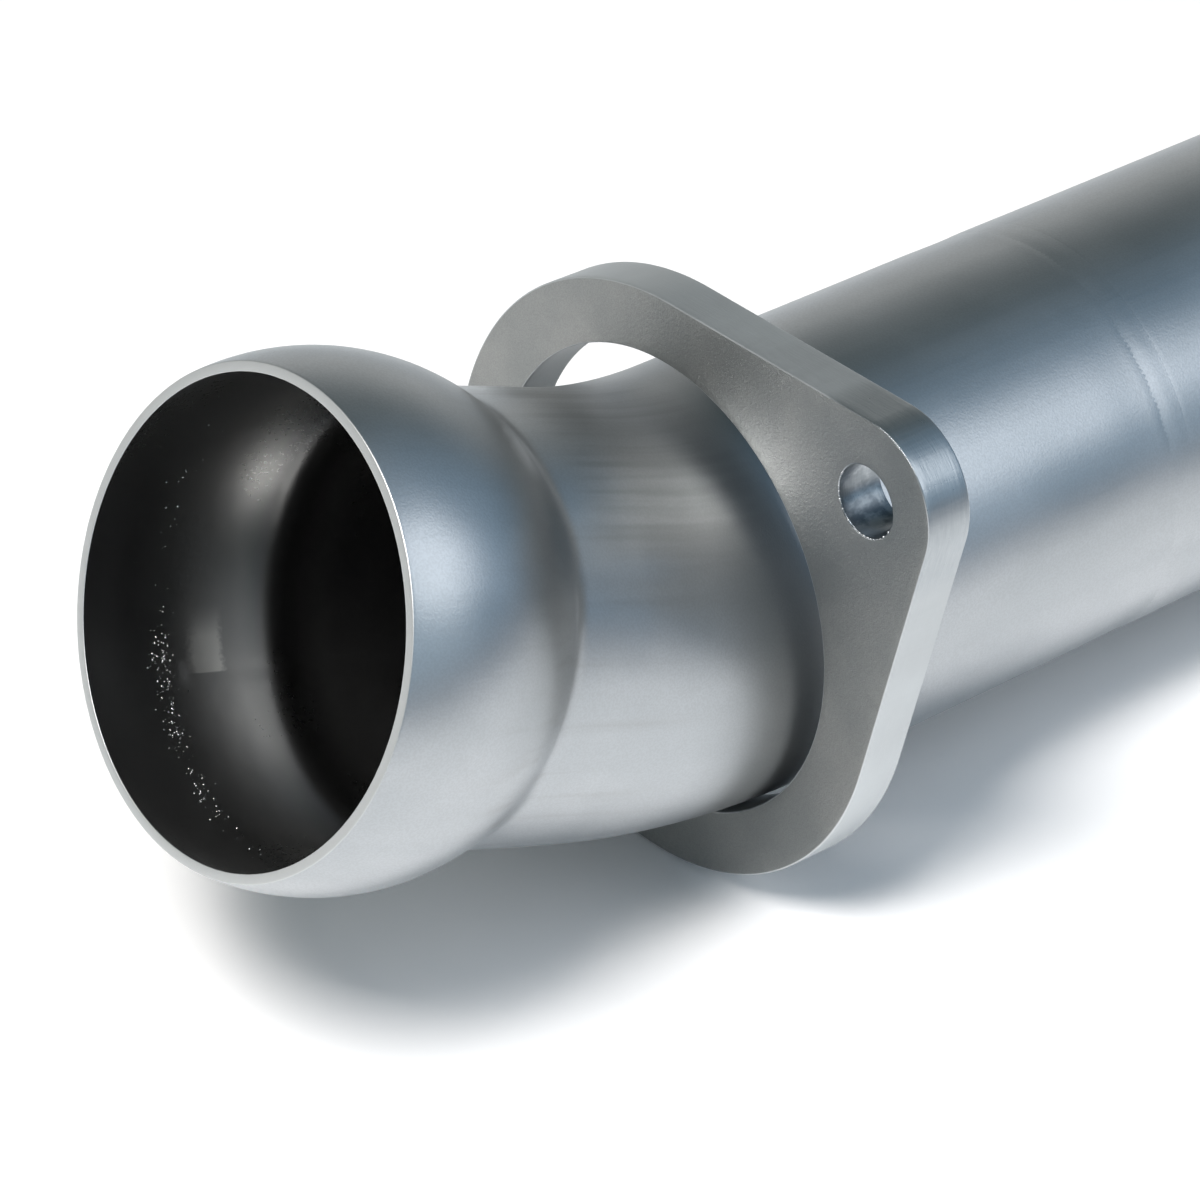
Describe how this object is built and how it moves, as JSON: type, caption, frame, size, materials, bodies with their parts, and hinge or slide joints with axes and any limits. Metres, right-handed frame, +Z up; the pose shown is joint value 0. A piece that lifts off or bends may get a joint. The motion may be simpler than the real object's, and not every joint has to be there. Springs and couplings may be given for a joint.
{
  "type": "turbo downpipe",
  "caption": "Bent stainless exhaust downpipe with a swaged ball end, a loose captive two-bolt diamond flange and a plain outlet.",
  "frame": {"origin": "middle of the footprint of the pipe as it lies at rest, on the surface it lies on", "axes": "+X along the straight stretch between the two bends, seen from above, from the ball end to the outlet; +Y to the side that the tail turns to; +Z up"},
  "size_m": [0.6216, 0.2796, 0.1227],
  "materials": {
    "tube": "fine satin with lengthwise drawing marks",
    "weld": "weld bead dressed nearly flush",
    "plate": "matte rolled faces, cut edges"
  },
  "bodies": {
    "pipe": {"front_tube": "tube", "weld_bead": "weld", "rear_tube": "tube"},
    "flange": {"loose_flange": "plate"}
  },
  "joints": [
    {"name": "flange_swivel", "type": "hinge", "parent": "pipe", "child": "flange", "pos_m": [-0.20509, -0.07604, 0.05369], "axis": [0.9958, 0.0365, -0.084], "continuous": true}
  ]
}
